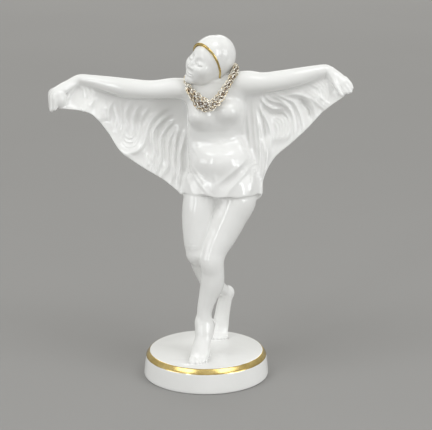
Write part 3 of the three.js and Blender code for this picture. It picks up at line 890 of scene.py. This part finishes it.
def build_necklace():
    """The strands wind round the rope, widest at its front and at her right shoulder."""
    line, across, away = rope_line()
    share = np.arange(len(line)) / len(line)
    front = np.exp(-((np.minimum(share, 1 - share) / 0.08) ** 2))
    shoulder = np.exp(-((share - 0.92) / 0.07) ** 2)
    spread = STRAND_SPREAD * (0.8 + 0.6 * shoulder + 0.4 * front)
    places, faces, outward, count = [], [], [], 0
    for strand in range(STRANDS):
        angle = 2 * np.pi * (STRAND_TURNS * share + strand / STRANDS)
        wander = STRAND_WANDER * np.sin(2 * np.pi * (5 * share + 0.37 * strand))
        route = (line + across * ((spread + wander) * np.cos(angle))[:, None]
                 + away * ((STRAND_DEPTH + wander) * np.sin(angle))[:, None])
        route = clear_of_porcelain(route, LINK_HALF_WIDTH + LINK_GAP)
        along = np.concatenate([[0], np.cumsum(lengths(np.roll(route, -1, axis=0) - route))])
        links = 2 * int(round(along[-1] / LINK_PITCH / 2))
        for number in range(links):
            at = along[-1] * (number + 0.5) / links
            link_places, link_faces = link_mesh(*link_pose(route, along, at, number, strand))
            here = min(int(np.searchsorted(along, at)), len(line) - 1)
            gap = link_places - line[here]
            # How far out from the rope's middle each wire point lies; the chain's material paints shade on
            # the inner ones.
            outward.append(np.hypot(gap @ across[here] / (spread[here] + LINK_HALF_WIDTH),
                                    gap @ away[here] / (STRAND_DEPTH + LINK_HALF_WIDTH)))
            places.append(link_places)
            faces.append(link_faces + count)
            count += len(link_places)
    piece = new_mesh("chain_rope", np.vstack(places), np.vstack(faces))
    # The outward layer carries the painted shade of the rope's hollows into the chain's material.
    layer = piece.data.attributes.new("outward", "FLOAT", "POINT")
    layer.data.foreach_set("value", np.concatenate(outward).astype(np.float32))
    piece.data.materials.append(chain_material())
    return piece


# Materials

class Graph:
    """Shorthand for making shader nodes."""

    def __init__(self, name):
        self.material = bpy.data.materials.new(name)
        self.material.use_nodes = True
        self.tree = self.material.node_tree
        self.shader = self.tree.nodes["Principled BSDF"]
        self.place = self.node("ShaderNodeTexCoord").outputs["Object"]

    def feed(self, socket, value):
        if isinstance(value, bpy.types.NodeSocket):
            self.tree.links.new(value, socket)
        else:
            socket.default_value = value

    def fill(self, node, values):
        """Feeds a node's sockets. Their names are given with _ for each space."""
        for name, value in values.items():
            self.feed(node.inputs[name.replace("_", " ")], value)
        return node

    def node(self, kind, settings=None, **values):
        node = self.tree.nodes.new(kind)
        for name, value in (settings or {}).items():
            setattr(node, name, value)
        return self.fill(node, values)

    def finish(self, **values):
        self.fill(self.shader, values)
        return self.material

    def math(self, operation, *values, kind="ShaderNodeMath", output=0):
        node = self.node(kind, {"operation": operation})
        for socket, value in zip(node.inputs, values):
            self.feed(socket, value)
        return node.outputs[output]

    def vector(self, operation, output, *values):
        return self.math(operation, *values, kind="ShaderNodeVectorMath", output=output)

    def noise(self, scale, detail=2.0, roughness=0.5):
        node = self.node("ShaderNodeTexNoise", Vector=self.place, Scale=scale, Detail=detail,
                         Roughness=roughness)
        return node.outputs["Fac"]

    def varied(self, least, amount, noise):
        """A value that noise raises above its least."""
        return self.math("ADD", least, self.math("MULTIPLY", noise, amount))

    def ramp(self, factor, stops):
        node = self.node("ShaderNodeValToRGB", Fac=factor)
        elements = node.color_ramp.elements
        while len(elements) < len(stops):
            elements.new(0.5)
        for element, (position, colour) in zip(elements, stops):
            element.position = position
            element.color = (*colour, 1)
        return node.outputs["Color"]

    def mix(self, factor, a, b):
        node = self.node("ShaderNodeMix", {"data_type": "RGBA"})
        self.feed(node.inputs["Factor"], factor)
        self.feed(node.inputs[6], (*a, 1) if isinstance(a, tuple) else a)
        self.feed(node.inputs[7], (*b, 1) if isinstance(b, tuple) else b)
        return node.outputs[2]

    def fade(self, value, start, end):
        """0 before start, 1 after end, smooth between."""
        node = self.node("ShaderNodeMapRange", {"interpolation_type": "SMOOTHSTEP"},
                         Value=value, From_Min=start, From_Max=end)
        return node.outputs["Result"]

    def between(self, value, limits, soft):
        """1 between two limits in millimetres, with soft edges."""
        low, high = (limit * MM for limit in limits)
        soft = soft * MM
        rise = self.fade(value, low - soft, low + soft)
        fall = self.fade(value, high + soft, high - soft)
        return self.math("MULTIPLY", rise, fall)


def porcelain_material():
    """White glazed porcelain with gilding on the base's shoulder and the cap's rim."""
    g = Graph("glazed_porcelain")
    brush = g.math("MULTIPLY", g.math("SUBTRACT", g.noise(260), 0.5), 0.35 * MM)
    split = g.node("ShaderNodeSeparateXYZ", Vector=g.place)
    height = g.math("ADD", split.outputs["Z"], brush)
    level = g.vector("MULTIPLY", "Vector", g.place, (1, 1, 0))
    radius = g.math("ADD", g.vector("LENGTH", "Value", level), brush)
    band = g.math("MULTIPLY", g.between(height, GILT_HEIGHTS, GILT_SOFTNESS),
                  g.between(radius, GILT_RADII, GILT_SOFTNESS))
    cap_centre = HEAD_CENTRE + HEAD.axes @ CAP_CENTRE
    offset = g.vector("SUBTRACT", "Vector", g.place, tuple(cap_centre * MM))
    depth = g.math("ADD", g.vector("DOT_PRODUCT", "Value", offset, tuple(HEAD.axes @ HEAD.rim)), brush)
    reach = g.vector("LENGTH", "Value", offset)
    line = [RIM_DEPTH + edge for edge in RIM_LINE]
    rim = g.math("MULTIPLY", g.between(depth, line, 0.06), g.between(reach, RIM_RADII, 0.05))
    rim = g.math("MULTIPLY", rim, g.between(height, RIM_HEIGHTS, 0.1))
    gilt = g.math("MAXIMUM", band, rim)
    white = g.ramp(g.noise(38, 3), [(0.3, (0.80, 0.80, 0.785)), (0.7, (0.84, 0.84, 0.83))])
    gold = g.ramp(g.noise(120, 4, 0.6), [(0.25, (0.5, 0.36, 0.12)), (0.6, (0.74, 0.57, 0.23)),
                                         (0.85, (0.93, 0.8, 0.45))])
    glaze = g.math("MULTIPLY", g.varied(0.04, 0.05, g.noise(90)), g.math("SUBTRACT", 1.0, gilt))
    worn = g.math("MULTIPLY", g.varied(0.17, 0.12, g.noise(420, 4)), gilt)
    bump = g.node("ShaderNodeBump", Height=g.noise(170, 2), Strength=0.05, Distance=0.1 * MM)
    return g.finish(Base_Color=g.mix(gilt, white, gold), Metallic=gilt, Roughness=g.math("ADD", glaze, worn),
                    Normal=bump.outputs["Normal"], IOR=1.52)


def chain_material():
    """Fine worn chain: pale gold and silver, with rosy brown at random; the links are darkened towards the
    rope's middle as painted shade in its hollows.
    """
    g = Graph("chain_metal")
    bright = g.ramp(g.noise(330, 2), [(0.3, (0.62, 0.47, 0.34)), (0.4, (0.88, 0.78, 0.58)),
                                      (0.52, (0.96, 0.93, 0.85)), (0.72, (0.90, 0.86, 0.80))])
    # Painted shade: links near the rope's middle, in its hollows, are mixed towards dark brown.
    outward = g.node("ShaderNodeAttribute", {"attribute_name": "outward"}).outputs["Fac"]
    level = g.varied(outward, 0.5, g.math("SUBTRACT", g.noise(700), 0.5))
    colour = g.mix(g.fade(level, 0.44, 0.8), (0.32, 0.235, 0.16), bright)
    return g.finish(Base_Color=colour, Metallic=1, Roughness=g.varied(0.16, 0.2, g.noise(900)))


def floor_material():
    """Plain matt grey paper."""
    g = Graph("studio_paper")
    grey = g.ramp(g.noise(3), [(0.3, (0.312, 0.307, 0.301)), (0.7, (0.320, 0.315, 0.309))])
    return g.finish(Base_Color=grey, Roughness=0.9, Specular_IOR_Level=0.1)


# Studio, in metres

FLOOR_HALF = 4.5
CAMERA_PLACE = (0.0064, -1.0276, 0.3924)
CAMERA_DROP = 15.5
SENSOR_WIDTH = 36
FOCAL_PIXELS = 1661
PICTURE_PIXELS = 432
COOL = (0.97, 0.985, 1)
WARM_WORLD = (1, 0.995, 0.95, 1)
FIGURE = (0, 0, 0.12)
# Lamps: name, place, size, power, and colour and aim where they aren't cool and at the figure.
LAMPS = [
    ("left_box", (-1.05, -0.8, 1.85), (1.1, 0.9), 10),
    ("right_box", (1.05, -0.8, 1.85), (1.1, 0.9), 10.5),
    ("left_strip", (-1.35, -2.25, 0.45), (0.35, 1.5), 9),
    ("right_strip", (1.95, -1.75, 0.45), (0.35, 1.5), 10),
    ("left_panel", (-2.4, -1.2, 0.35), (1.4, 1.1), 13),
    ("right_panel", (2.4, -1.2, 0.35), (1.4, 1.1), 15),
    ("background", (0, 2.3, 1.6), (2.6, 1.0), 15, (1, 1, 1), (0, 2.2, 0)),
]


def build_floor():
    half = FLOOR_HALF / MM
    corners = [[-half, -half, 0], [half, -half, 0], [half, half, 0], [-half, half, 0]]
    piece = new_mesh("floor", corners, [[0, 1, 2, 3]])
    piece.data.materials.append(floor_material())
    return piece


def build_lamp(name, place, size, power, colour=COOL, aim=FIGURE):
    light = bpy.data.lights.new(name, "AREA")
    light.shape = "RECTANGLE"
    light.size, light.size_y = size
    light.energy = power
    light.color = colour
    lamp = new_object(name, light)
    lamp.location = place
    lamp.rotation_euler = (Vector(aim) - Vector(place)).to_track_quat("-Z", "Y").to_euler()


def build_world():
    """Surroundings that are grey near the horizon and brighter overhead."""
    world = bpy.data.worlds.new("studio")
    world.use_nodes = True
    tree = world.node_tree
    surround = tree.nodes["Background"]
    surround.inputs["Color"].default_value = WARM_WORLD
    direction = tree.nodes.new("ShaderNodeTexCoord")
    split = tree.nodes.new("ShaderNodeSeparateXYZ")
    rise = tree.nodes.new("ShaderNodeMapRange")
    tree.links.new(direction.outputs["Generated"], split.inputs["Vector"])
    tree.links.new(split.outputs["Z"], rise.inputs["Value"])
    for name, value in (("From Min", 0.15), ("From Max", 0.6), ("To Min", 0.44), ("To Max", 0.64)):
        rise.inputs[name].default_value = value
    tree.links.new(rise.outputs["Result"], surround.inputs["Strength"])
    return world


def build_studio():
    scene = bpy.context.scene
    scene.world = build_world()
    scene.view_settings.view_transform = "Standard"
    for lamp in LAMPS:
        build_lamp(*lamp)


def build_camera():
    """The photograph's view, with a long lens that was fitted in the picture's pixels."""
    data = bpy.data.cameras.new("camera")
    data.sensor_fit = "HORIZONTAL"
    data.sensor_width = SENSOR_WIDTH
    data.lens = SENSOR_WIDTH * FOCAL_PIXELS / PICTURE_PIXELS
    data.clip_end = 30
    camera = new_object("camera", data)
    camera.location = CAMERA_PLACE
    camera.rotation_euler = (math.radians(90 - CAMERA_DROP), 0, 0)
    bpy.context.scene.camera = camera


dancer = build_dancer()
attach(dancer, "root")
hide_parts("dancer")

chain = build_necklace()
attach(chain, "root")
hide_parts("necklace")

build_floor()
build_studio()
build_camera()
